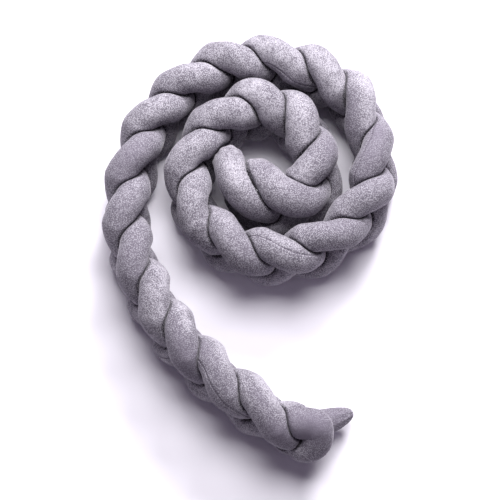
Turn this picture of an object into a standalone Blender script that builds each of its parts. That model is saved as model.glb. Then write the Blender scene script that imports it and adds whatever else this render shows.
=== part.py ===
"""Braided crib bumper: three stuffed plush tubes, plaited, stood on edge and laid in a coil.

Run with: blender --background --python part.py
Metres, +Z up. The braid runs clockwise, seen from above, from its free tail into the coil.
Its origin is the middle of the footprint, on the surface that it rests on.
"""

import math
from collections import namedtuple

import bmesh
import bpy
import numpy as np

COLLECTION_NAME = "crib_bumper"

# Driving sizes, in metres.
TUBE_DIAMETER = 0.048        # a stuffed tube, lying free
BRAID_RISE = 0.045           # how far a tube swings above and below the braid's mid height
BRAID_SWAY = 0.0105          # how far a tube swings to each side of the braid's middle
TUBE_GAP = 0.0042            # clear space between tubes that press on each other
FLOOR_PRESS = 0.004          # how far a tube's own weight flattens it where it rests
ROUND_END = 0.030            # length over which a stuffed end closes
POINTED_END = 0.085          # length over which the gathered tail tip closes

# How finely each tube is faceted.
SECTIONS = 164
SIDES = 10
PATH_STEP = 0.004            # spacing of the points that describe a tube's middle
WEAVE_STEP = 0.2             # spacing of the weave's own points, in bulges

# How the filling gives way where a tube meets a neighbour.
SOFTNESS = 9.0               # power of the blend between free tube and flattened face
GIRTH_ROUNDS = 4             # passes that keep the cloth's girth the same all along
MOST_SWELL = 1.15            # a flattened tube grows no wider than this times its free size
NEIGHBOUR_REACH = 2.6        # in diameters: tubes farther away than this don't press
OWN_TURN = 3.0               # in diameters of run: past this a tube can meet its own next turn
BEND_ROOM = 0.9              # share of a bend's radius that the tube may fill on its inner side
BEND_REACH = 0.016           # a bend is measured between points this far behind and ahead
LEVEL_RUN = 0.12             # over this run a tube's sections turn back level after a twist
RING_TURN = 12.0             # degrees; sets a section's facets evenly on each side of its foot
LEAST_RADIUS = 0.002         # a tube is never pressed thinner than this
TIP_RADIUS = 0.00001         # the rings at the very ends, which close into one point
TIP_MERGE = 0.00005

MM = 0.001
PERCENT = 0.01
UP = np.array((0.0, 0.0, 1.0))
LEAST_FACING = 0.001         # keeps the reach finite in directions that face no neighbour

PLUSH_COLOUR = (0.31, 0.29, 0.33, 1.0)
PLUSH_ROUGHNESS = 0.9

# The route of the braid's top edge, seen from above. Bulges are counted along it from the tail,
# east is +X and north is +Y in millimetres, lean is how many degrees the top edge tips to the
# coil's inner side, and fill is the stuffed thickness in percent.
RouteRow = namedtuple("RouteRow", "bulge east north lean fill")
ROUTE = (
    RouteRow(-1, 177, -297, 5, 97),
    RouteRow(1, 88, -281, 6, 98),
    RouteRow(3, -50, -189, 6, 99),
    RouteRow(5, -146, -74, 7, 98),
    RouteRow(7, -195, 67, 3, 99),
    RouteRow(9, -154, 222, 0, 98),
    RouteRow(11, -30, 316, 0, 100),
    RouteRow(13, 122, 293, 0, 100),
    RouteRow(14, 177, 238, 4, 99),
    RouteRow(15, 192, 145, 10, 97),
    RouteRow(16, 178, 81, 9, 98),
    RouteRow(17, 114, 20, 6, 97),
    RouteRow(18, 42, -2, 2, 101),
    RouteRow(19, -29, 13, 0, 102),
    RouteRow(20, -90, 75, -2, 100),
    RouteRow(21, -94, 157, -3, 100),
    RouteRow(22, -42, 221, -2, 103),
    RouteRow(23, 22, 247, -3, 104),
    RouteRow(24, 83, 203, 7, 108),
    RouteRow(25, 98, 132, 13, 104),
    RouteRow(25.5, 82, 100, 13, 108),
    RouteRow(26, 52, 88, 12, 112),
    RouteRow(27, -25, 113, 9, 102),
    RouteRow(28, -40, 170, 6, 103),
)

# Where a tube leaves the weave at its ends it runs on through these spots, in millimetres, with
# its own fill. Tail spots start at the very end of the tube and coil spots finish there.
Spot = namedtuple("Spot", "east north height fill")
Tube = namedtuple("Tube", "name first last tail_spots coil_spots tail_close coil_close")
TUBES = (
    Tube("tube_one", 1.1, 27.0, (), (Spot(-33, 144, 95, 103), Spot(-36, 158, 65, 100)),
         ROUND_END, ROUND_END),
    Tube("tube_two", 1.3, 27.2, (Spot(59, -288, 47, 88), Spot(84, -296, 62, 93),
                                 Spot(100, -288, 84, 97), Spot(98, -269, 100, 98)), (),
         ROUND_END, ROUND_END),
    Tube("tube_three", 1.3, 26.2, (Spot(162, -244, 30, 95), Spot(137, -252, 31, 95),
                                   Spot(105, -263, 36, 95)),
         (Spot(14, 118, 97, 112), Spot(1, 125, 88, 108), Spot(-5, 129, 74, 100)),
         POINTED_END, ROUND_END),
)


def curve_through(knots, values, at):
    """Smooth curve through values at the given knots, read at other parameters."""
    slopes = np.gradient(values, knots, axis=0)
    index = np.clip(np.searchsorted(knots, at, side="right") - 1, 0, len(knots) - 2)
    span = (knots[index + 1] - knots[index])[:, None]
    t = (at - knots[index])[:, None] / span
    start, end = values[index], values[index + 1]
    slope_in, slope_out = slopes[index] * span, slopes[index + 1] * span
    return ((2 * t**3 - 3 * t**2 + 1) * start + (t**3 - 2 * t**2 + t) * slope_in
            + (3 * t**2 - 2 * t**3) * end + (t**3 - t**2) * slope_out)


def unit(vectors):
    """Vectors scaled to length one."""
    return vectors / np.linalg.norm(vectors, axis=-1, keepdims=True)


def run_along(points):
    """Distance from the first point to each point, along the line through them."""
    steps = np.linalg.norm(np.diff(points, axis=0), axis=1)
    return np.concatenate(([0.0], np.cumsum(steps)))


def read_at(run, points, at):
    """Columns of a finely drawn line, read at other distances along it."""
    return np.column_stack([np.interp(at, run, column) for column in points.T])


def braid_frame(bulges):
    """The braid at the given bulges: its middle, its inward and upward directions, its fill."""
    rows = np.array(ROUTE, dtype=float)
    little = 0.01
    top = MM * curve_through(rows[:, 0], rows[:, 1:3], bulges)
    top_ahead = MM * curve_through(rows[:, 0], rows[:, 1:3], bulges + little)
    lean, fill = curve_through(rows[:, 0], rows[:, 3:5], bulges).T[:, :, None]
    along = unit(top_ahead - top)
    inner = np.column_stack((along[:, 1], -along[:, 0], np.zeros(len(bulges))))
    lean = np.radians(lean)
    across = inner * np.cos(lean) - UP * np.sin(lean)
    rise = inner * np.sin(lean) + UP * np.cos(lean)
    lowest = TUBE_DIAMETER / 2 - FLOOR_PRESS
    middle = np.column_stack((top, lowest + 2 * BRAID_RISE * np.cos(lean))) - BRAID_RISE * rise
    return middle, across, rise, fill * PERCENT


def tube_path(number):
    """Points along the middle of one tube with its fill, and the distance run at each."""
    tube = TUBES[number]
    bulges = np.arange(tube.first, tube.last + WEAVE_STEP / 2, WEAVE_STEP)
    turn = 2 * math.pi * (bulges - number)[:, None] / len(TUBES)
    middle, across, rise, fill = braid_frame(bulges)
    weave = middle + rise * BRAID_RISE * np.cos(turn) + across * BRAID_SWAY * np.sin(2 * turn)
    units = (MM, MM, MM, PERCENT)
    tail = np.array(tube.tail_spots, dtype=float).reshape(-1, 4) * units
    coil = np.array(tube.coil_spots, dtype=float).reshape(-1, 4) * units
    knots = np.vstack((tail, np.hstack((weave, fill)), coil))
    knot_run = run_along(knots[:, :3])
    fine = curve_through(knot_run, knots, np.arange(0.0, knot_run[-1], PATH_STEP / 4))
    fine_run = run_along(fine[:, :3])
    even = np.linspace(0.0, fine_run[-1], int(fine_run[-1] / PATH_STEP) + 1)
    return read_at(fine_run, fine, even), even


def bend_at(run, points, at):
    """How sharply the tube's middle bends, as vectors towards the inner side of the bend."""
    at = np.clip(at, BEND_REACH, run[-1] - BEND_REACH)
    here = read_at(run, points, at)
    behind = read_at(run, points, at - BEND_REACH)
    ahead = read_at(run, points, at + BEND_REACH)
    return (ahead - 2 * here + behind) / BEND_REACH**2


def section_axes(centres):
    """Two directions across the tube at each section, the first nearly level, with little twist."""
    along = unit(np.gradient(centres, axis=0))
    level = unit(np.cross(UP, along))
    pull = run_along(centres)[-1] / len(centres) / LEVEL_RUN
    for index in range(1, len(centres)):
        carried = level[index - 1] - along[index] * (level[index - 1] @ along[index])
        level[index] = unit(unit(carried) + pull * level[index])
    return level, np.cross(along, level)


def free_radius(run, length, tail_close, coil_close):
    """Radius of the tube along its run before its neighbours press on it."""
    tail = np.clip(run / tail_close, 0.0, 1.0)
    coil = np.clip((length - run) / coil_close, 0.0, 1.0)
    return TUBE_DIAMETER / 2 * np.sqrt(1 - (1 - tail)**2) * np.sqrt(1 - (1 - coil)**2)


def room_at(centre, directions, neighbours, bend):
    """How far the tube may reach in each direction before it meets a neighbour or itself."""
    offsets = neighbours - centre
    distance = np.linalg.norm(offsets, axis=1)
    near = distance < NEIGHBOUR_REACH * TUBE_DIAMETER
    offsets, distance = offsets[near], distance[near][:, None]
    facing = np.maximum(offsets @ directions.T / distance, LEAST_FACING)
    room = ((distance - TUBE_GAP) / 2 / facing).min(axis=0, initial=1.0)
    inside = BEND_ROOM / np.maximum(directions @ bend, LEAST_FACING)
    return np.maximum(np.minimum(room, inside), LEAST_RADIUS)


def tube_rings(number, paths, sections, sides):
    """Rings of points on the skin of one tube, from its tail end to its coil end."""
    points, run = paths[number]
    tube = TUBES[number]
    at = np.linspace(0.0, run[-1], sections + 1)
    middles = read_at(run, points, at)
    centres, fill = middles[:, :3], middles[:, 3]
    level, upright = section_axes(centres)
    angles = math.radians(RING_TURN) + 2 * math.pi * np.arange(sides)[:, None] / sides
    free = fill * free_radius(at, run[-1], tube.tail_close, tube.coil_close)
    free = np.maximum(free, TIP_RADIUS)
    bends = bend_at(run, points[:, :3], at)
    others = np.vstack([paths[n][0][:, :3] for n in range(len(TUBES)) if n != number])
    room = np.empty((sections + 1, sides))
    spokes = np.empty((sections + 1, sides, 3))
    for index, centre in enumerate(centres):
        spokes[index] = np.cos(angles) * level[index] + np.sin(angles) * upright[index]
        own = points[np.abs(run - at[index]) > OWN_TURN * TUBE_DIAMETER, :3]
        room[index] = room_at(centre, spokes[index], np.vstack((others, own)), bends[index])
    girth = 2 * sides * math.sin(math.pi / sides) * free
    radius = free
    for _ in range(GIRTH_ROUNDS):
        reach = (radius[:, None]**-SOFTNESS + room**-SOFTNESS)**(-1 / SOFTNESS)
        skin = spokes * reach[:, :, None]
        drawn = np.linalg.norm(skin - np.roll(skin, 1, axis=1), axis=2).sum(axis=1)
        radius = np.clip(radius * girth / drawn, free, MOST_SWELL * free)
    skin += centres[:, None, :]
    skin[:, :, 2] = np.maximum(skin[:, :, 2], 0.0)
    return skin


def footprint_middle(skins):
    """Middle of the box round all the skins, level with the surface that they rest on."""
    points = np.vstack([skin.reshape(-1, 3) for skin in skins])
    middle = (points.min(axis=0) + points.max(axis=0)) / 2
    return middle * (1, 1, 0)


def rolled_tube(name, rings):
    """A sheet of cloth rolled round the rings, joined along its length and closed at its ends."""
    sections, sides = rings.shape[0] - 1, rings.shape[1]
    mesh = bpy.data.meshes.new(name)
    sheet = bmesh.new()
    bmesh.ops.create_grid(sheet, x_segments=sections, y_segments=sides, size=1.0)
    for vert in sheet.verts:
        section = round((vert.co.x + 1) / 2 * sections)
        side = round((vert.co.y + 1) / 2 * sides) % sides
        vert.co = rings[section, side]
    bmesh.ops.remove_doubles(sheet, verts=sheet.verts, dist=TIP_MERGE)
    bmesh.ops.recalc_face_normals(sheet, faces=sheet.faces)
    sheet.to_mesh(mesh)
    sheet.free()
    mesh.shade_smooth()
    return mesh


def plush_material(name):
    """Short-pile grey-lilac plush."""
    material = bpy.data.materials.new(name)
    material.use_nodes = True
    shader = material.node_tree.nodes["Principled BSDF"]
    shader.inputs["Base Color"].default_value = PLUSH_COLOUR
    shader.inputs["Roughness"].default_value = PLUSH_ROUGHNESS
    shader.inputs["Metallic"].default_value = 0.0
    return material


def clear_scene():
    """Remove the objects of the starting scene."""
    for thing in list(bpy.data.objects):
        bpy.data.objects.remove(thing, do_unlink=True)


def main():
    clear_scene()
    collection = bpy.data.collections.new(COLLECTION_NAME)
    bpy.context.scene.collection.children.link(collection)
    paths = [tube_path(number) for number in range(len(TUBES))]
    skins = [tube_rings(number, paths, SECTIONS, SIDES) for number in range(len(TUBES))]
    middle = footprint_middle(skins)
    for tube, skin in zip(TUBES, skins):
        mesh = rolled_tube(tube.name, skin - middle)
        mesh.materials.append(plush_material(tube.name + "_plush"))
        collection.objects.link(bpy.data.objects.new(tube.name, mesh))


main()
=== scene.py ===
"""Plaited crib bumper: the sewn and stuffed look of its three plush tubes, and a plain studio stage.

The braid stands on its edge and lies in a clockwise coil with a long free tail. The route, the plait
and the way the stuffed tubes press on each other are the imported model's, but the tubes lie closer, and
the skin is drawn finely, with its stuffing lumps, its lengthwise seam, its puckers and its gathered
ends.
"""

import math
from collections import namedtuple

import bmesh
import bpy
import numpy as np
from bpy.props import FloatProperty, FloatVectorProperty, IntProperty, PointerProperty
from bpy.types import Operator, Panel, PropertyGroup
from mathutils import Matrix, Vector


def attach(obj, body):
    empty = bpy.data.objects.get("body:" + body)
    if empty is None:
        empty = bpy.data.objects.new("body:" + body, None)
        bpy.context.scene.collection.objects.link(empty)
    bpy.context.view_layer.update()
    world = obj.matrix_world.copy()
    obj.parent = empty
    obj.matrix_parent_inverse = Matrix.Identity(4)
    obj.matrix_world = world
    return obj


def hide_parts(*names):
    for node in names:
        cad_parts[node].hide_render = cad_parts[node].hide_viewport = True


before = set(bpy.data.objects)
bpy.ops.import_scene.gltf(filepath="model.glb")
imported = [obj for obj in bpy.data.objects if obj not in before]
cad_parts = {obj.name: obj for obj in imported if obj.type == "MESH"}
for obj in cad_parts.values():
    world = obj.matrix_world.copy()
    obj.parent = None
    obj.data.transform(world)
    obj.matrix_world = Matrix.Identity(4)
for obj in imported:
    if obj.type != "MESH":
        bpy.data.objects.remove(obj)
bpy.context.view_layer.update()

bl_info = {
    "name": "Plaited Crib Bumper",
    "version": (1, 0, 0),
    "blender": (4, 5, 0),
    "location": "View3D > Sidebar > Bumper",
    "description": "Three stuffed plush tubes, plaited, stood on edge and laid in a coil",
    "category": "Object",
}

MM = 0.001
PERCENT = 0.01
UP = np.array((0.0, 0.0, 1.0))

# How the filling gives way where a tube meets a neighbour. The blend is tighter than the packed
# model's, which gives the skin flatter faces and narrower creases.
SOFTNESS = 14.0              # power of the blend between free tube and flattened face
GIRTH_ROUNDS = 4             # passes that keep the cloth's girth the same all along
MOST_SWELL = 1.15            # a flattened tube grows no wider than this times its free size
NEIGHBOUR_REACH = 2.6        # in diameters: tubes farther away than this don't press
OWN_TURN = 3.0               # in diameters of run: past this a tube can meet its own next turn
BEND_ROOM = 0.9              # share of a bend's radius that the tube may fill on its inner side
BEND_REACH = 16 * MM         # a bend is measured between points this far behind and ahead
LEVEL_RUN = 120 * MM         # over this run a tube's sections turn back level after a twist
LEAST_RADIUS = 2 * MM        # a tube is never pressed thinner than this
LEAST_FACING = 0.001         # keeps the reach finite in directions that face no neighbour

# How the tubes are drawn.
TIP_RADIUS = 0.01 * MM       # the rings at the very ends, which close into one point
TIP_MERGE = 0.05 * MM        # points nearer than this become one: the tips, and the seam's two sides
PATH_STEP = 4 * MM           # spacing of the points that describe a tube's middle
WEAVE_STEP = 0.2             # spacing of the weave's own points, in bulges
ROUTE_STEP = 0.01            # how far ahead the route's direction is read, in bulges
ROUND_END = 30               # mm over which a stuffed end closes
POINTED_END = 85             # mm over which the gathered tail tip closes
SEAM_CROWDING = 0.55         # how much closer together the points lie at the seam

# The turned seam: a groove, and a soft lip on each side of it.
GROOVE_WIDTH = 1.3 * MM      # from its middle to where it has mostly risen again
LIP_HEIGHT = 0.32            # share of the groove's depth
LIP_PLACE = 3.6 * MM         # from the seam
LIP_WIDTH = 2.2 * MM

# The stuffing's lumps. Each small form has its own seed, so a change in one leaves the others alone.
WAVE_SPREAD = (0.55, 1.35)   # an uneven height is made of waves that are this many times as crowded
SMALL_LUMP_HEIGHT = 0.35     # share of the large lumps' height
SMALL_LUMPS_ACROSS = 2.6     # small lumps in the width of a large one
PRESSED_LUMPS = 0.25         # share of the lumps' height that is left where a neighbour presses
LOOSE_FROM = 0.25            # clearance, as a share of the radius, from which the cloth lies loose
WHOLE_FROM = 0.6             # share of the free radius from which small forms have their whole depth
LUMP_SEED, SMALL_LUMP_SEED, PUCKER_SEED, CRINKLE_SEED = 11, 21, 31, 51

# Puckers on the inner side of a bend. How tight the bend is there is 0 for a straight tube and 1
# where the skin reaches the middle of the bend.
PUCKERS_START = 0.30
PUCKERS_WHOLE = 0.80
PUCKER_DRIFT = 3             # in pucker widths: over this they drift from their even spacing
PUCKER_WANDER = 1.6          # radians of that drift
PUCKER_PATCH = 4             # in pucker widths: over this they grow deeper and shallower
PUCKER_CHANGE = 0.35         # share of their depth that changes so

# Pleats round a gathered end, and the crowded folds.
PLEAT_HEIGHT = 0.08          # share of the radius
TAIL_PLEATS = 0.5            # how far the pleats run, in lengths over which the end closes
COIL_PLEATS = 1.4
PLEAT_WANDER = 1.3           # radians by which the pleats stray from an even round
CRINKLE_DRIFT = 14 * MM      # over this the crowded folds drift from their even spacing
CRINKLE_WANDER = 0.8         # radians of that drift

# Painted shade in the creases between tubes, by how much of its room a tube fills in a direction:
# deep in the crease between two tubes, and faintly on the rounding beside it.
CREASE_START, CREASE_WHOLE = 0.925, 0.97
ROUNDING_START, ROUNDING_WHOLE = 0.8, 1.0
CREASE_SHARE = 0.85          # the crease's part of the whole, and the rounding has the rest

# The route of the braid's top edge, seen from above. Bulges are counted along it from the tail,
# east is +X and north is +Y in millimetres, lean is how many degrees the top edge tips to the
# coil's inner side, and fill is the stuffed thickness in percent.
RouteRow = namedtuple("RouteRow", "bulge east north lean fill")
ROUTE = (
    RouteRow(-1, 177, -297, 5, 97),
    RouteRow(1, 88, -281, 6, 98),
    RouteRow(3, -50, -189, 6, 99),
    RouteRow(5, -146, -74, 7, 98),
    RouteRow(7, -195, 67, 3, 99),
    RouteRow(9, -154, 222, 0, 98),
    RouteRow(11, -30, 316, 0, 100),
    RouteRow(13, 122, 293, 0, 100),
    RouteRow(14, 177, 238, 4, 99),
    RouteRow(15, 192, 145, 10, 97),
    RouteRow(16, 178, 81, 9, 98),
    RouteRow(17, 114, 20, 6, 97),
    RouteRow(18, 42, -2, 2, 101),
    RouteRow(19, -29, 13, 0, 102),
    RouteRow(20, -90, 75, -2, 100),
    RouteRow(21, -94, 157, -3, 100),
    RouteRow(22, -42, 221, -2, 103),
    RouteRow(23, 22, 247, -3, 104),
    RouteRow(24, 83, 203, 7, 108),
    RouteRow(25, 98, 132, 13, 104),
    RouteRow(25.5, 82, 100, 13, 108),
    RouteRow(26, 52, 88, 12, 112),
    RouteRow(27, -25, 113, 9, 102),
    RouteRow(28, -40, 170, 6, 103),
)

# Where a tube leaves the weave at its ends it runs on through these spots, in millimetres, with
# its own fill. Tail spots start at the very end of the tube and coil spots finish there.
Spot = namedtuple("Spot", "east north height fill")

# The lengthwise seam, by the bulges that it passes: 0 degrees is the coil's outer side, 90 the top,
# 180 the inner side and 270 the underside, and they run on as the seam winds round its tube.
SeamSpot = namedtuple("SeamSpot", "bulge degrees")
SEAM_ONE = (
    SeamSpot(0, 60),
    SeamSpot(2.5, 56),
    SeamSpot(2.85, 42),
    SeamSpot(6, -20),
    SeamSpot(9, -70),
    SeamSpot(10.5, -150),
    SeamSpot(12.1, -214),
    SeamSpot(12.5, -223),
    SeamSpot(12.7, -237),
    SeamSpot(14.5, -290),
    SeamSpot(14.7, -262),
    SeamSpot(15.0, -239),
    SeamSpot(15.3, -246),
    SeamSpot(17.6, -290),
    SeamSpot(18.0, -283),
    SeamSpot(18.3, -276),
    SeamSpot(19.5, -300),
    SeamSpot(21, -350),
    SeamSpot(24, -400),
    SeamSpot(28, -430),
)

# Where the nap was stroked one way or the other, and where light and shade are painted: the tube, the
# run from its tail end in millimetres and the degrees round it as above, how far the mark reaches along
# and across in millimetres, and its tone, lighter above 0 and smoother and darker below. The marks are
# partly brushed nap and partly painted light and shade. The marks stand in order along each tube.
NapAndLightMark = namedtuple("NapAndLightMark", "node run degrees along across tone")
NAP_AND_LIGHT_MARKS = (
    NapAndLightMark("tube_one", 198, 80, 36, 24, -0.35),
    NapAndLightMark("tube_one", 228, 140, 34, 10, 1.0),
    NapAndLightMark("tube_one", 240, 78, 18, 12, -0.5),
    NapAndLightMark("tube_one", 514, 85, 40, 28, -0.4),
    NapAndLightMark("tube_one", 839, 90, 44, 26, 0.1),
    NapAndLightMark("tube_one", 1165, 90, 44, 26, 0.3),
    NapAndLightMark("tube_one", 1462, 80, 14, 12, -0.5),
    NapAndLightMark("tube_one", 1491, 90, 36, 26, -0.6),
    NapAndLightMark("tube_one", 2140, 133, 20, 12, 0.6),
    NapAndLightMark("tube_one", 2436, 90, 18, 18, 0.6),
    NapAndLightMark("tube_one", 2470, 80, 22, 20, 0.3),
    NapAndLightMark("tube_one", 2800, 91, 16, 20, 0.55),
    NapAndLightMark("tube_two", 92, 175, 30, 30, -1.0),
    NapAndLightMark("tube_two", 104, 95, 26, 26, -0.8),
    NapAndLightMark("tube_two", 136, 215, 14, 12, 0.9),
    NapAndLightMark("tube_two", 384, 86, 44, 26, -0.8),
    NapAndLightMark("tube_two", 432, 121, 26, 9, 0.6),
    NapAndLightMark("tube_two", 723, 90, 44, 30, -0.3),
    NapAndLightMark("tube_two", 1374, 90, 44, 26, 0.5),
    NapAndLightMark("tube_two", 1685, 90, 44, 26, -0.2),
    NapAndLightMark("tube_two", 2008, 90, 44, 26, -0.3),
    NapAndLightMark("tube_two", 2650, 36, 16, 10, -0.4),
    NapAndLightMark("tube_two", 2665, 70, 30, 26, -0.3),
    NapAndLightMark("tube_two", 2681, 56, 20, 14, 0.5),
    NapAndLightMark("tube_three", 34, 90, 30, 44, -0.7),
    NapAndLightMark("tube_three", 156, 36, 26, 18, -1.0),
    NapAndLightMark("tube_three", 200, 66, 15, 9, -0.5),
    NapAndLightMark("tube_three", 207, 132, 26, 12, 1.0),
    NapAndLightMark("tube_three", 531, 134, 20, 9, 0.7),
    NapAndLightMark("tube_three", 828, 90, 44, 30, -0.6),
    NapAndLightMark("tube_three", 1470, 40, 44, 16, 0.7),
    NapAndLightMark("tube_three", 1490, 110, 40, 16, -0.5),
    NapAndLightMark("tube_three", 1795, 90, 40, 26, -0.3),
    NapAndLightMark("tube_three", 2450, 98, 26, 16, 0.5),
    NapAndLightMark("tube_three", 2765, 80, 34, 26, -0.3),
    NapAndLightMark("tube_three", 2824, 90, 12, 12, -0.4),
)

# Where the cloth is crowded into small folds across the tube: placed as above, with the distance
# from fold to fold and their depth in millimetres.
Crinkle = namedtuple("Crinkle", "node run degrees along across pitch depth")
CRINKLES = (
    Crinkle("tube_one", 2794, 112, 15, 12, 7.5, 2.8),
    Crinkle("tube_three", 2746, 58, 17, 8, 10.5, 2.6),
    Crinkle("tube_three", 14, 118, 9, 14, 6.0, 1.4),
)

# A tube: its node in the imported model, the first and the last bulge of its weave, its spots beyond
# them, the millimetres over which its two ends close, and its seam.
Tube = namedtuple("Tube", "node first last tail_spots coil_spots tail_close coil_close seam")
TUBES = (
    Tube("tube_one", 1.1, 27.0,
         (),
         (Spot(-33, 144, 95, 103), Spot(-36, 158, 65, 100)),
         ROUND_END, ROUND_END, SEAM_ONE),
    Tube("tube_two", 1.3, 27.2,
         (Spot(59, -288, 47, 88), Spot(84, -296, 62, 93), Spot(100, -288, 84, 97),
          Spot(98, -269, 100, 98)),
         (),
         ROUND_END, ROUND_END, (SeamSpot(0, 265), SeamSpot(28, 275))),
    Tube("tube_three", 1.3, 26.2,
         (Spot(162, -244, 30, 95), Spot(137, -252, 31, 95), Spot(105, -263, 36, 95)),
         (Spot(14, 118, 97, 112), Spot(1, 125, 88, 108), Spot(-5, 129, 74, 100)),
         POINTED_END, ROUND_END, (SeamSpot(0, 275), SeamSpot(28, 262))),
)


def linear(srgb_hex):
    """A colour written as sRGB hex, turned to the linear values that shaders take."""
    shares = [int(srgb_hex[start:start + 2], 16) / 255 for start in (1, 3, 5)]
    return tuple(s / 12.92 if s <= 0.04045 else ((s + 0.055) / 1.055)**2.4 for s in shares)


# ---------------------------------------------------------------- settings that a user may change

def length(name, description, default):
    """A size in metres, as a property."""
    return FloatProperty(name=name, description=description, default=default, min=0.0,
                         unit="LENGTH", precision=4)


def colour(name, description, srgb_hex):
    """A colour, as a property."""
    return FloatVectorProperty(name=name, description=description, default=linear(srgb_hex),
                               min=0.0, max=1.0, size=3, subtype="COLOR")


class BumperBraid(PropertyGroup):
    """Sizes of the plait."""
    tube_diameter: length("Tube diameter", "A stuffed tube, lying free", 48 * MM)
    rise: length("Rise", "How far a tube swings above and below the braid's mid height", 45 * MM)
    sway: length("Sway", "How far a tube swings to each side of the braid's middle", 10.5 * MM)
    gap: length("Gap", "Clear space between tubes that press on each other", 1.3 * MM)
    floor_press: length("Floor press", "How far its own weight flattens a resting tube", 4 * MM)
    sections: IntProperty(name="Sections", description="Rings along a tube", default=1230, min=100)
    sides: IntProperty(name="Sides", description="Points round a tube", default=80, min=12)


class BumperCloth(PropertyGroup):
    """Sizes of the small forms in the plush."""
    lump_height: length("Lump height", "How far the stuffing stands uneven", 0.28 * MM)
    lump_width: length("Lump width", "Usual distance between lumps", 46 * MM)
    pucker_depth: length("Pucker depth", "Depth of the puckers inside a tight bend", 1.5 * MM)
    pucker_width: length("Pucker width", "Usual distance between puckers", 10 * MM)
    seam_depth: length("Seam depth", "How deep the turned seam lies in the pile", 0.8 * MM)
    stitch_pitch: length("Stitch pitch", "Distance between the seam's stitches", 3.2 * MM)
    pleat_count: IntProperty(name="Pleats", description="Pleats round a gathered end", default=11)


class BumperColours(PropertyGroup):
    """Colours of the plush."""
    pile: colour("Pile", "Plush seen along its nap", "#6e6973")
    # The brushed colour also carries the painted light of the lighter marks, and the laid one the
    # painted shade of the darker marks.
    brushed: colour("Brushed pile", "Plush whose nap is brushed up", "#a19ca6")
    laid_nap_and_shade: colour("Laid pile", "Plush whose nap lies flat away from the light", "#716a78")
    # Painted shade: this dark colour is laid into the creases between two tubes.
    crease_shade_colour: colour("Painted crease shade", "Plush pressed between two tubes", "#1d1620")
    root: colour("Roots", "Between the tufts and in the seam", "#4d4552")
    # Painted glints: the pale specks on the tips stand in for light that they catch.
    tip_glint: colour("Tips", "Pile tips that catch the light", "#e2dee8")
    sheen: colour("Sheen", "Light caught by the pile's tips at a grazing angle", "#f3eef8")


class BumperStudio(PropertyGroup):
    """The stage, the light and the camera."""
    floor: colour("Floor", "The pale floor", "#f4f0f9")
    fill_light: colour("Fill light", "Light from all round", "#dccfe9")
    fill_strength: FloatProperty(name="Fill strength", description="Light from all round",
                                 default=0.17, min=0.0)
    key_power: FloatProperty(name="Key power", description="Power of the large soft light",
                             default=51.0, min=0.0, unit="POWER")
    key_width: length("Key width", "Width of the large soft light", 1.2)
    key_height: length("Key height", "Height of the large soft light", 1.0)
    rim_power: FloatProperty(name="Rim power", description="Power of the lower light behind",
                             default=92.0, min=0.0, unit="POWER")
    rim_width: length("Rim width", "Width of the lower light behind", 1.0)
    rim_height: length("Rim height", "Height of the lower light behind", 0.6)
    camera_elevation: FloatProperty(name="Camera elevation", description="Angle above the floor",
                                    default=math.radians(77), subtype="ANGLE")
    camera_distance: length("Camera distance", "From the middle of the picture", 1.6)
    picture_width: length("Picture width", "What the picture spans at its middle", 0.775)


# ---------------------------------------------------------------- the plait's route and its tubes

def curve_through(knots, values, at):
    """Smooth curve through values at the given knots, read at other parameters."""
    slopes = np.gradient(values, knots, axis=0)
    index = np.clip(np.searchsorted(knots, at, side="right") - 1, 0, len(knots) - 2)
    span = (knots[index + 1] - knots[index])[:, None]
    t = (at - knots[index])[:, None] / span
    start, end = values[index], values[index + 1]
    slope_in, slope_out = slopes[index] * span, slopes[index + 1] * span
    return ((2 * t**3 - 3 * t**2 + 1) * start + (t**3 - 2 * t**2 + t) * slope_in
            + (3 * t**2 - 2 * t**3) * end + (t**3 - t**2) * slope_out)


def unit(vectors):
    """Vectors scaled to length one."""
    return vectors / np.linalg.norm(vectors, axis=-1, keepdims=True)


def run_along(points):
    """Distance from the first point to each point, along the line through them."""
    steps = np.linalg.norm(np.diff(points, axis=0), axis=1)
    return np.concatenate(([0.0], np.cumsum(steps)))


def read_at(run, points, at):
    """Columns of a finely drawn line, read at other distances along it."""
    return np.column_stack([np.interp(at, run, column) for column in points.T])


def smooth_step(low, high, value):
    """0 below low, 1 above high, and a smooth rise between."""
    share = np.clip((value - low) / (high - low), 0.0, 1.0)
    return share * share * (3 - 2 * share)


def braid_frame(braid, bulges):
    """The braid at the given bulges: its middle, its inward and upward directions, its fill."""
    rows = np.array(ROUTE, dtype=float)
    top = MM * curve_through(rows[:, 0], rows[:, 1:3], bulges)
    top_ahead = MM * curve_through(rows[:, 0], rows[:, 1:3], bulges + ROUTE_STEP)
    lean, fill = curve_through(rows[:, 0], rows[:, 3:5], bulges).T[:, :, None]
    along = unit(top_ahead - top)
    inner = np.column_stack((along[:, 1], -along[:, 0], np.zeros(len(bulges))))
    lean = np.radians(lean)
    across = inner * np.cos(lean) - UP * np.sin(lean)
    rise = inner * np.sin(lean) + UP * np.cos(lean)
    lowest = braid.tube_diameter / 2 - braid.floor_press
    middle = np.column_stack((top, lowest + 2 * braid.rise * np.cos(lean))) - braid.rise * rise
    return middle, across, rise, fill * PERCENT


# A tube's middle line: points with x, y, z and fill, the run at each, and the bulge at each.
TubeLine = namedtuple("TubeLine", "points run bulges")


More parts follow.
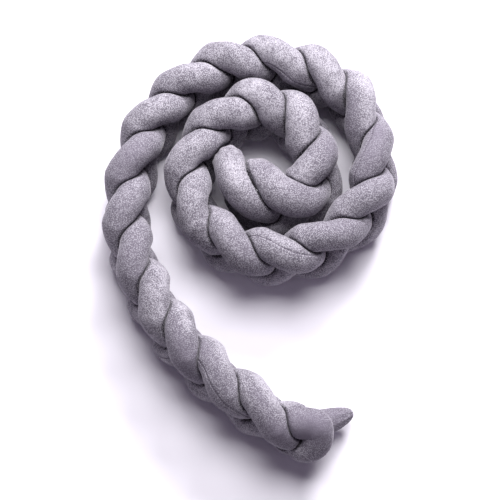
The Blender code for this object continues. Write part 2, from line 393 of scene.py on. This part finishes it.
def tube_line(braid, number):
    """The middle line of one tube, through the weave and its free ends."""
    tube = TUBES[number]
    bulges = np.arange(tube.first, tube.last + WEAVE_STEP / 2, WEAVE_STEP)
    turn = 2 * math.pi * (bulges - number)[:, None] / len(TUBES)
    middle, across, rise, fill = braid_frame(braid, bulges)
    weave = middle + rise * braid.rise * np.cos(turn) + across * braid.sway * np.sin(2 * turn)
    units = (MM, MM, MM, PERCENT)
    tail = np.array(tube.tail_spots, dtype=float).reshape(-1, 4) * units
    coil = np.array(tube.coil_spots, dtype=float).reshape(-1, 4) * units
    knots = np.vstack((tail, np.hstack((weave, fill)), coil))
    knot_run = run_along(knots[:, :3])
    fine = curve_through(knot_run, knots, np.arange(0.0, knot_run[-1], PATH_STEP / 4))
    fine_run = run_along(fine[:, :3])
    even = np.linspace(0.0, fine_run[-1], int(fine_run[-1] / PATH_STEP) + 1)
    weave_run = knot_run[len(tail):len(tail) + len(bulges)]
    return TubeLine(read_at(fine_run, fine, even), even, np.interp(even, weave_run, bulges))


def bend_at(run, points, at):
    """How sharply the tube's middle bends, as vectors towards the inner side of the bend."""
    at = np.clip(at, BEND_REACH, run[-1] - BEND_REACH)
    here = read_at(run, points, at)
    behind = read_at(run, points, at - BEND_REACH)
    ahead = read_at(run, points, at + BEND_REACH)
    return (ahead - 2 * here + behind) / BEND_REACH**2


def section_axes(centres):
    """Two directions across the tube at each section, the first nearly level, with little twist."""
    along = unit(np.gradient(centres, axis=0))
    level = unit(np.cross(UP, along))
    pull = run_along(centres)[-1] / len(centres) / LEVEL_RUN
    for index in range(1, len(centres)):
        carried = level[index - 1] - along[index] * (level[index - 1] @ along[index])
        level[index] = unit(unit(carried) + pull * level[index])
    return level, np.cross(along, level)


def free_radius(braid, tube, at, whole):
    """Radius of the tube along its run before its neighbours press on it."""
    tail = np.clip(at / (tube.tail_close * MM), 0.0, 1.0)
    coil = np.clip((whole - at) / (tube.coil_close * MM), 0.0, 1.0)
    return braid.tube_diameter / 2 * np.sqrt(1 - (1 - tail)**2) * np.sqrt(1 - (1 - coil)**2)


def room_at(braid, centre, directions, neighbours, bend):
    """How far the tube may reach in each direction before it meets a neighbour or itself."""
    offsets = neighbours - centre
    distance = np.linalg.norm(offsets, axis=1)
    near = distance < NEIGHBOUR_REACH * braid.tube_diameter
    offsets, distance = offsets[near], distance[near][:, None]
    facing = np.maximum(offsets @ directions.T / distance, LEAST_FACING)
    room = ((distance - braid.gap) / 2 / facing).min(axis=0, initial=1.0)
    inside = BEND_ROOM / np.maximum(directions @ bend, LEAST_FACING)
    return np.maximum(np.minimum(room, inside), LEAST_RADIUS)


def room_round(braid, number, lines, at, centres, spokes, bends):
    """The room in every direction at every section of one tube."""
    line = lines[number]
    others = np.vstack([lines[n].points[:, :3] for n in range(len(TUBES)) if n != number])
    room = np.empty(spokes.shape[:2])
    for index, centre in enumerate(centres):
        own = line.points[np.abs(line.run - at[index]) > OWN_TURN * braid.tube_diameter, :3]
        room[index] = room_at(braid, centre, spokes[index], np.vstack((others, own)), bends[index])
    return room


def pressed_reach(free, room, spokes):
    """How far the skin reaches along each spoke, flattened by its room, and its swollen radius."""
    radius = free
    girth = 2 * math.pi * free
    for _ in range(GIRTH_ROUNDS):
        reach = (radius[:, None]**-SOFTNESS + room**-SOFTNESS)**(-1 / SOFTNESS)
        skin = spokes * reach[:, :, None]
        drawn = np.linalg.norm(skin - np.roll(skin, 1, axis=1), axis=2).sum(axis=1)
        radius = np.clip(radius * girth / drawn, free, MOST_SWELL * free)
    return reach, radius


# ---------------------------------------------------------------- small forms in the cloth

def uneven(points, width, seed, waves=28):
    """A smooth random height at each point, between about -2 and 2, with bumps of one width."""
    draw = np.random.default_rng(seed)
    headings = unit(draw.normal(size=(waves, 3)))
    counts = 2 * math.pi / width * draw.uniform(*WAVE_SPREAD, size=waves)
    shifts = draw.uniform(0.0, 2 * math.pi, size=waves)
    phases = points @ (headings * counts[:, None]).T + shifts
    return np.cos(phases).sum(axis=-1) * math.sqrt(2 / waves)


def stuffing_lumps(cloth, places, number):
    """Height of the uneven stuffing: broad lumps, and small ones on them."""
    small_width = cloth.lump_width / SMALL_LUMPS_ACROSS
    large = uneven(places, cloth.lump_width, LUMP_SEED + number)
    small = uneven(places, small_width, SMALL_LUMP_SEED + number)
    return cloth.lump_height * (large + SMALL_LUMP_HEIGHT * small)


def seam_profile(cloth, aside):
    """Height of the turned seam: a narrow groove between two soft lips."""
    groove = -cloth.seam_depth * np.exp(-(aside / GROOVE_WIDTH)**2)
    lips = LIP_HEIGHT * cloth.seam_depth * np.exp(-((aside - LIP_PLACE) / LIP_WIDTH)**2)
    return groove + lips


def puckers(cloth, at, places, tightness, seed):
    """Depth of the small folds that the cloth makes on the inner side of a tight bend."""
    drift = uneven(places, PUCKER_DRIFT * cloth.pucker_width, seed)
    wave = np.sin(2 * math.pi * at[:, None] / cloth.pucker_width + PUCKER_WANDER * drift)
    change = uneven(places, PUCKER_PATCH * cloth.pucker_width, seed + 1)
    patch = 1 - PUCKER_CHANGE + PUCKER_CHANGE * change
    tight = smooth_step(PUCKERS_START, PUCKERS_WHOLE, tightness)
    return -cloth.pucker_depth * tight * patch * (0.5 - 0.5 * wave)**2


def end_pleats(cloth, tube, at, whole, angles):
    """Share by which the radius rises and falls round an end that is gathered on a thread."""
    tail = 1 - np.clip(at / (TAIL_PLEATS * tube.tail_close * MM), 0.0, 1.0)
    coil = 1 - np.clip((whole - at) / (COIL_PLEATS * tube.coil_close * MM), 0.0, 1.0)
    ripple = np.cos(cloth.pleat_count * angles + PLEAT_WANDER * np.sin(2 * angles))
    return PLEAT_HEIGHT * (tail + coil)[:, None] * ripple


def mark_reach(braid, mark, at, angles):
    """How much of a mark lies at each point: 1 at its middle, fading out along and across."""
    along = (at - mark.run * MM) / (mark.along * MM)
    turned = np.angle(np.exp(1j * (angles - math.radians(mark.degrees))))
    across = turned * braid.tube_diameter / 2 / (mark.across * MM)
    return np.exp(-along[:, None]**2 - across**2)


def nap_and_painted_light(braid, tube, at, angles):
    """How far each point is lighter or darker from the marks: partly brushed nap, partly painted light
    and shade.
    """
    tone = np.zeros(angles.shape)
    for mark in NAP_AND_LIGHT_MARKS:
        if mark.node == tube.node:
            tone += mark.tone * mark_reach(braid, mark, at, angles)
    return tone


def crinkles(braid, tube, at, angles, places):
    """Depth of the small crowded folds where the cloth is pushed together."""
    depth = np.zeros(angles.shape)
    for number, mark in enumerate(CRINKLES):
        if mark.node == tube.node:
            drift = uneven(places, CRINKLE_DRIFT, CRINKLE_SEED + number)
            wave = np.cos(2 * math.pi * at[:, None] / (mark.pitch * MM) + CRINKLE_WANDER * drift)
            reach = mark_reach(braid, mark, at, angles)
            depth -= mark.depth * MM * reach * (0.5 - 0.5 * wave)**2
    return depth


def painted_crease_shade(closeness):
    """How much shade is painted into the crease, by the share of its room that the tube fills."""
    crease = smooth_step(CREASE_START, CREASE_WHOLE, closeness)
    rounding = smooth_step(ROUNDING_START, ROUNDING_WHOLE, closeness)
    return CREASE_SHARE * crease + (1 - CREASE_SHARE) * rounding


# ---------------------------------------------------------------- the skin and its mesh

def seam_turn(tube, line, at):
    """Where the seam lies round the tube at each run, as an angle."""
    spots = np.array(tube.seam, dtype=float)
    bulges = np.interp(at, line.run, line.bulges)
    return np.radians(np.interp(bulges, spots[:, 0], spots[:, 1]))


# A tube's skin: rings of points, the run at each ring, the share of the girth at each point of a
# ring, and at every point the shade painted into its creases and the tone of its marks.
Skin = namedtuple("Skin", "rings run around pressed brushed")


def tube_skin(braid, cloth, number, lines):
    """The skin of one tube, flattened by its neighbours, with its sewing, its small forms, its painted
    crease shade and its marks.
    """
    tube, line = TUBES[number], lines[number]
    whole = line.run[-1]
    at = np.linspace(0.0, whole, braid.sections + 1)
    middles = read_at(line.run, line.points, at)
    centres, fill = middles[:, :3], middles[:, 3]
    level, upright = section_axes(centres)
    share = np.arange(braid.sides + 1) / braid.sides
    around = share - SEAM_CROWDING * np.sin(2 * math.pi * share) / (2 * math.pi)
    angles = seam_turn(tube, line, at)[:, None] + 2 * math.pi * around[None, :-1]
    spokes = (np.cos(angles)[:, :, None] * level[:, None, :]
              + np.sin(angles)[:, :, None] * upright[:, None, :])
    free = np.maximum(fill * free_radius(braid, tube, at, whole), TIP_RADIUS)
    bends = bend_at(line.run, line.points[:, :3], at)
    room = room_round(braid, number, lines, at, centres, spokes, bends)
    reach, radius = pressed_reach(free, room, spokes)
    places = centres[:, None, :] + spokes * reach[:, :, None]
    loose = smooth_step(0.0, LOOSE_FROM, room / radius[:, None] - 1)
    lumps = stuffing_lumps(cloth, places, number) * (PRESSED_LUMPS + (1 - PRESSED_LUMPS) * loose)
    tightness = np.einsum("ijk,ik->ij", spokes, bends) * reach
    folds = puckers(cloth, at, places, tightness, PUCKER_SEED + number)
    folds += crinkles(braid, tube, at, angles, places)
    girth = 2 * math.pi * free
    aside = np.minimum(around[:-1], 1 - around[:-1])[None, :] * girth[:, None]
    whole_here = smooth_step(0.0, WHOLE_FROM, free / (braid.tube_diameter / 2))[:, None]
    detail = (lumps + folds + seam_profile(cloth, aside)) * whole_here
    detail += reach * end_pleats(cloth, tube, at, whole, angles)
    rings = centres[:, None, :] + spokes * (reach + detail)[:, :, None]
    rings[:, :, 2] = np.maximum(rings[:, :, 2], 0.0)
    # The last two fields hold the shade painted into the creases and the tone of the marks.
    return Skin(rings, at, around, painted_crease_shade(reach / room), nap_and_painted_light(braid, tube, at, angles))


def footprint_middle(skins):
    """Middle of the box round all the skins, level with the surface that they rest on."""
    points = np.vstack([skin.rings.reshape(-1, 3) for skin in skins])
    middle = (points.min(axis=0) + points.max(axis=0)) / 2
    return middle * (1, 1, 0)


SEWING_MAP = "sewing"        # UV map: metres along the tube, and share of the girth from the seam
# This attribute holds the shade painted into the creases, where a neighbour presses.
CREASE_SHADE_MAP = "pressed"          # at each point, how hard a neighbour presses there
# This attribute holds the tone of the marks: partly stroked nap, partly painted light and shade.
NAP_AND_LIGHT_MAP = "brushed"          # at each point, how the nap was stroked


def rolled_tube(name, skin, middle):
    """A sheet of cloth rolled round the rings, joined along its seam and closed at its ends."""
    sections, sides = skin.rings.shape[0] - 1, skin.rings.shape[1]
    rings = skin.rings - middle
    mesh = bpy.data.meshes.new(name)
    sheet = bmesh.new()
    bmesh.ops.create_grid(sheet, x_segments=sections, y_segments=sides, size=1.0)
    sewing = sheet.loops.layers.uv.new(SEWING_MAP)
    # This layer carries the shade painted into the creases.
    pressed = sheet.verts.layers.float.new(CREASE_SHADE_MAP)
    brushed = sheet.verts.layers.float.new(NAP_AND_LIGHT_MAP)
    place = {}
    for vert in sheet.verts:
        section = round((vert.co.x + 1) / 2 * sections)
        side = round((vert.co.y + 1) / 2 * sides)
        place[vert] = (skin.run[section], skin.around[side])
        vert[pressed] = skin.pressed[section, side % sides]
        vert[brushed] = skin.brushed[section, side % sides]
        vert.co = rings[section, side % sides]
    for face in sheet.faces:
        for loop in face.loops:
            loop[sewing].uv = place[loop.vert]
    bmesh.ops.remove_doubles(sheet, verts=sheet.verts, dist=TIP_MERGE)
    bmesh.ops.recalc_face_normals(sheet, faces=sheet.faces)
    sheet.to_mesh(mesh)
    sheet.free()
    mesh.shade_smooth()
    return mesh


# ---------------------------------------------------------------- finishes

def add_node(tree, kind, settings=None, links=None, values=None):
    """One node of a material: its settings, its socket values, and what its sockets take."""
    node = tree.nodes.new(kind)
    for name, value in (settings or {}).items():
        setattr(node, name, value)
    for socket, value in (values or {}).items():
        node.inputs[socket].default_value = value
    for socket, source in (links or {}).items():
        tree.links.new(source, node.inputs[socket])
    return node


def opaque(rgb):
    """A colour with full alpha, as sockets take it."""
    return (*rgb, 1.0)


def new_material(name):
    """An empty material, and the tree that its nodes go into."""
    material = bpy.data.materials.new(name)
    material.use_nodes = True
    material.node_tree.nodes.clear()
    return material, material.node_tree


def pile_grain(tree, place):
    """The grain of the pile: 1 at the top of a tuft and 0 where tufts part."""
    tuft = 1.8 * MM                     # real tufts are finer; these are as coarse as they need to show
    tufts = add_node(tree, "ShaderNodeTexVoronoi", links={"Vector": place},
                     values={"Scale": 1 / tuft, "Randomness": 0.9})
    return add_node(tree, "ShaderNodeMapRange", links={"Value": tufts.outputs["Distance"]},
                    values={"From Min": 0.85, "From Max": 0.15}).outputs[0]


def nap_patches(tree, place):
    """The nap's own small patches, and how far each place is brushed up by them and by the marks, which
    also paint light and shade.
    """
    patch, fade = 19 * MM, 75 * MM      # a small patch, and the broad areas with more or fewer of them
    nap = add_node(tree, "ShaderNodeTexNoise", links={"Vector": place},
                   values={"Scale": 1 / patch, "Detail": 3.0, "Roughness": 0.55, "Distortion": 0.8})
    broad = add_node(tree, "ShaderNodeTexNoise", links={"Vector": place},
                     values={"Scale": 1 / fade, "Detail": 1.0})
    nap_share = add_node(tree, "ShaderNodeMapRange", links={"Value": nap.outputs["Fac"]},
                         values={"From Min": 0.38, "From Max": 0.62})
    broad_share = add_node(tree, "ShaderNodeMapRange", links={"Value": broad.outputs["Fac"]},
                           values={"From Min": 0.3, "From Max": 0.7, "To Min": 0.25, "To Max": 0.75})
    mottled = add_node(tree, "ShaderNodeMath", {"operation": "MULTIPLY"},
                       {0: nap_share.outputs[0], 1: broad_share.outputs[0]})
    # The marks: partly stroked nap, partly painted light and shade.
    nap_and_light_marks = add_node(tree, "ShaderNodeAttribute", {"attribute_name": NAP_AND_LIGHT_MAP})
    brushed = add_node(tree, "ShaderNodeMath", {"operation": "ADD", "use_clamp": True},
                       {0: mottled.outputs[0], 1: nap_and_light_marks.outputs["Fac"]})
    return nap.outputs["Fac"], brushed.outputs[0]


def pile_colour(tree, colours, grain, brushed):
    """The pile's colour: nap, grain with painted glints, painted crease shade, and marks of nap and of
    painted light and shade, less grainy where darker.
    """
    smoothed = 0.8                      # share of the grain that a mark of tone -1 takes away
    raised = add_node(tree, "ShaderNodeMix", {"data_type": "RGBA"}, {0: brushed},
                      {6: opaque(colours.pile), 7: opaque(colours.brushed)})
    # Painted shade: the pile is darkened in the creases between two tubes.
    crease_shade_node = add_node(tree, "ShaderNodeAttribute", {"attribute_name": CREASE_SHADE_MAP})
    body = add_node(tree, "ShaderNodeMix", {"data_type": "RGBA"},
                    {0: crease_shade_node.outputs["Fac"], 6: raised.outputs[2]}, {7: opaque(colours.crease_shade_colour)})
    parting = add_node(tree, "ShaderNodeMapRange", links={"Value": grain},
                       values={"From Min": 0.5, "From Max": 0.0, "To Min": 0.0, "To Max": 0.55})
    parted = add_node(tree, "ShaderNodeMix", {"data_type": "RGBA"},
                      {0: parting.outputs[0], 6: body.outputs[2]}, {7: opaque(colours.root)})
    # Painted glints: pale specks on the tops of the tufts.
    glint = add_node(tree, "ShaderNodeMapRange", links={"Value": grain},
                     values={"From Min": 0.5, "From Max": 1.0, "To Min": 0.0, "To Max": 0.55})
    speckled = add_node(tree, "ShaderNodeMix", {"data_type": "RGBA"},
                        {0: glint.outputs[0], 6: parted.outputs[2]}, {7: opaque(colours.tip_glint)})
    # The darker marks: laid nap and painted shade, with less grain.
    nap_and_light_marks = add_node(tree, "ShaderNodeAttribute", {"attribute_name": NAP_AND_LIGHT_MAP})
    laid_nap_and_shade = add_node(tree, "ShaderNodeMath", {"operation": "MULTIPLY", "use_clamp": True},
                    {0: nap_and_light_marks.outputs["Fac"]}, {1: -smoothed})
    return add_node(tree, "ShaderNodeMix", {"data_type": "RGBA"},
                    {0: laid_nap_and_shade.outputs[0], 6: speckled.outputs[2]},
                    {7: opaque(colours.laid_nap_and_shade)}).outputs[2]


def seam_stitches(tree, braid, cloth):
    """1 in the seam's line at a stitch hole, less between two holes, and 0 away from the seam."""
    line = 0.3 * MM                     # the dark line's half width, and it fades out over the groove
    sewing = add_node(tree, "ShaderNodeUVMap", {"uv_map": SEWING_MAP})
    along_around = add_node(tree, "ShaderNodeSeparateXYZ", links={0: sewing.outputs[0]})
    share = add_node(tree, "ShaderNodeMath", {"operation": "PINGPONG"},
                     {0: along_around.outputs[1]}, {1: 0.5})
    aside = add_node(tree, "ShaderNodeMath", {"operation": "MULTIPLY"}, {0: share.outputs[0]},
                     {1: math.pi * braid.tube_diameter})
    seam_line = add_node(tree, "ShaderNodeMapRange", {"interpolation_type": "SMOOTHSTEP"},
                         {"Value": aside.outputs[0]}, {"From Min": GROOVE_WIDTH, "From Max": line})
    pitch = add_node(tree, "ShaderNodeMath", {"operation": "MULTIPLY"},
                     {0: along_around.outputs[0]}, {1: 2 * math.pi / cloth.stitch_pitch})
    beat = add_node(tree, "ShaderNodeMath", {"operation": "SINE"}, {0: pitch.outputs[0]})
    hole = add_node(tree, "ShaderNodeMapRange", links={"Value": beat.outputs[0]},
                    values={"From Min": -0.2, "From Max": 0.7, "To Min": 0.35, "To Max": 1.0})
    return add_node(tree, "ShaderNodeMath", {"operation": "MULTIPLY"},
                    {0: seam_line.outputs[0], 1: hole.outputs[0]}).outputs[0]


def plush_velour(braid, cloth, colours):
    """Polyester plush: knitted, then brushed and sheared to a short dense pile.

    The eye sees a matt cloth with a salt-and-pepper grain of dark roots where tufts part and painted
    glints on the tips, soft lighter and darker patches of brushed nap and of painted light and shade,
    shade painted into the creases between two tubes, and a pale rim of light on the pile's tips at the
    edge of each tube.
    """
    material, tree = new_material("plush_velour_brushed")
    place = add_node(tree, "ShaderNodeTexCoord").outputs["Object"]
    grain = pile_grain(tree, place)
    nap, brushed = nap_patches(tree, place)
    stitched = seam_stitches(tree, braid, cloth)
    sewn = add_node(tree, "ShaderNodeMix", {"data_type": "RGBA"},
                    {0: stitched, 6: pile_colour(tree, colours, grain, brushed)},
                    {7: opaque(colours.root)})
    pile_height = add_node(tree, "ShaderNodeMath", {"operation": "SUBTRACT"}, {0: grain, 1: stitched})
    pile_bump = add_node(tree, "ShaderNodeBump", links={"Height": pile_height.outputs[0]},
                         values={"Strength": 0.3, "Distance": 0.6 * MM})
    nap_bump = add_node(tree, "ShaderNodeBump", links={"Height": nap, "Normal": pile_bump.outputs[0]},
                        values={"Strength": 0.35, "Distance": 2.0 * MM})
    shader = add_node(tree, "ShaderNodeBsdfPrincipled",
                      links={"Base Color": sewn.outputs[2], "Normal": nap_bump.outputs[0]},
                      values={"Roughness": 0.92, "Specular IOR Level": 0.2, "Sheen Weight": 0.3,
                              "Sheen Roughness": 0.35, "Sheen Tint": opaque(colours.sheen)})
    add_node(tree, "ShaderNodeOutputMaterial", links={"Surface": shader.outputs[0]})
    return material


def floor_paper(studio):
    """Matt seamless studio paper, rolled out flat: an even pale ground without a gloss."""
    material, tree = new_material("studio_paper_matt")
    shader = add_node(tree, "ShaderNodeBsdfPrincipled",
                      values={"Base Color": opaque(studio.floor), "Roughness": 0.85,
                              "Specular IOR Level": 0.2})
    add_node(tree, "ShaderNodeOutputMaterial", links={"Surface": shader.outputs[0]})
    return material


# ---------------------------------------------------------------- operators

class BUMPER_OT_tubes(Operator):
    """Sew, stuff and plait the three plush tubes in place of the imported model's plain ones"""
    bl_idname = "bumper.tubes"
    bl_label = "Plaited Tubes"

    def execute(self, context):
        scene = context.scene
        braid, cloth = scene.bumper_braid, scene.bumper_cloth
        lines = [tube_line(braid, number) for number in range(len(TUBES))]
        skins = [tube_skin(braid, cloth, number, lines) for number in range(len(TUBES))]
        middle = footprint_middle(skins)
        plush = plush_velour(braid, cloth, scene.bumper_colours)
        for tube, skin in zip(TUBES, skins):
            mesh = rolled_tube(tube.node + "_plush", skin, middle)
            mesh.materials.append(plush)
            piece = bpy.data.objects.new(tube.node + "_plush", mesh)
            scene.collection.objects.link(piece)
            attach(piece, "root")
            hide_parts(tube.node)
        return {"FINISHED"}


class BUMPER_OT_stage(Operator):
    """Lay the pale floor, hang the soft light and set the camera over the bumper"""
    bl_idname = "bumper.stage"
    bl_label = "Stage"

    def execute(self, context):
        scene, studio = context.scene, context.scene.bumper_studio
        lay_floor(scene, studio)
        hang_lights(scene, studio)
        set_camera(scene, studio)
        scene.view_settings.view_transform = "Standard"
        return {"FINISHED"}


FLOOR_HALF = 3.0                            # half the floor's side
KEY_PLACE = Vector((0.08, 0.78, 1.9))       # high, and a little behind the coil
RIM_PLACE = Vector((0.6, 2.1, 1.75))        # farther back and to the right, and lower
MIDDLE = Vector((-0.003, -0.018, 0.100))    # what the camera and the lights face


def lay_floor(scene, studio):
    """A plain pale floor under the bumper."""
    mesh = bpy.data.meshes.new("floor")
    sheet = bmesh.new()
    bmesh.ops.create_grid(sheet, x_segments=1, y_segments=1, size=FLOOR_HALF)
    sheet.to_mesh(mesh)
    sheet.free()
    mesh.materials.append(floor_paper(studio))
    floor = bpy.data.objects.new("floor", mesh)
    scene.collection.objects.link(floor)


def hang_lamp(scene, name, place, size, power):
    """One rectangular soft light that faces the bumper."""
    light = bpy.data.lights.new(name, "AREA")
    light.shape = "RECTANGLE"
    light.size, light.size_y = size
    light.energy = power
    lamp = bpy.data.objects.new(name, light)
    lamp.location = place
    lamp.rotation_euler = (MIDDLE - place).to_track_quat("-Z", "Y").to_euler()
    scene.collection.objects.link(lamp)


def hang_lights(scene, studio):
    """A large soft light above, a lower one behind, and pale light from all round."""
    hang_lamp(scene, "key_light", KEY_PLACE, (studio.key_width, studio.key_height), studio.key_power)
    hang_lamp(scene, "rim_light", RIM_PLACE, (studio.rim_width, studio.rim_height), studio.rim_power)
    world = bpy.data.worlds.new("studio_fill")
    world.use_nodes = True
    background = world.node_tree.nodes["Background"]
    background.inputs["Color"].default_value = opaque(studio.fill_light)
    background.inputs["Strength"].default_value = studio.fill_strength
    scene.world = world


def set_camera(scene, studio):
    """The camera, looking steeply down on the coil with the tail towards it."""
    lens = bpy.data.cameras.new("camera")
    lens.lens = lens.sensor_width * studio.camera_distance / studio.picture_width
    camera = bpy.data.objects.new("camera", lens)
    tilt = studio.camera_elevation
    back = Vector((0, -math.cos(tilt), math.sin(tilt)))
    camera.location = MIDDLE + back * studio.camera_distance
    camera.rotation_euler = (math.pi / 2 - tilt, 0, 0)
    scene.collection.objects.link(camera)
    scene.camera = camera


class BUMPER_PT_sidebar(Panel):
    """The bumper's settings and the steps that make it"""
    bl_idname = "BUMPER_PT_sidebar"
    bl_label = "Plaited Crib Bumper"
    bl_space_type = "VIEW_3D"
    bl_region_type = "UI"
    bl_category = "Bumper"

    def draw(self, context):
        for settings in (context.scene.bumper_braid, context.scene.bumper_cloth,
                         context.scene.bumper_colours, context.scene.bumper_studio):
            box = self.layout.box()
            for name in settings.__annotations__:
                box.prop(settings, name)
        for operator in (BUMPER_OT_tubes, BUMPER_OT_stage):
            self.layout.operator(operator.bl_idname)


CLASSES = (BumperBraid, BumperCloth, BumperColours, BumperStudio,
           BUMPER_OT_tubes, BUMPER_OT_stage, BUMPER_PT_sidebar)


def register():
    for cls in CLASSES:
        bpy.utils.register_class(cls)
    bpy.types.Scene.bumper_braid = PointerProperty(type=BumperBraid)
    bpy.types.Scene.bumper_cloth = PointerProperty(type=BumperCloth)
    bpy.types.Scene.bumper_colours = PointerProperty(type=BumperColours)
    bpy.types.Scene.bumper_studio = PointerProperty(type=BumperStudio)


def unregister():
    for name in ("bumper_studio", "bumper_colours", "bumper_cloth", "bumper_braid"):
        delattr(bpy.types.Scene, name)
    for cls in reversed(CLASSES):
        bpy.utils.unregister_class(cls)


def main():
    register()
    bpy.ops.bumper.tubes()
    bpy.ops.bumper.stage()


if __name__ == "__main__":
    main()
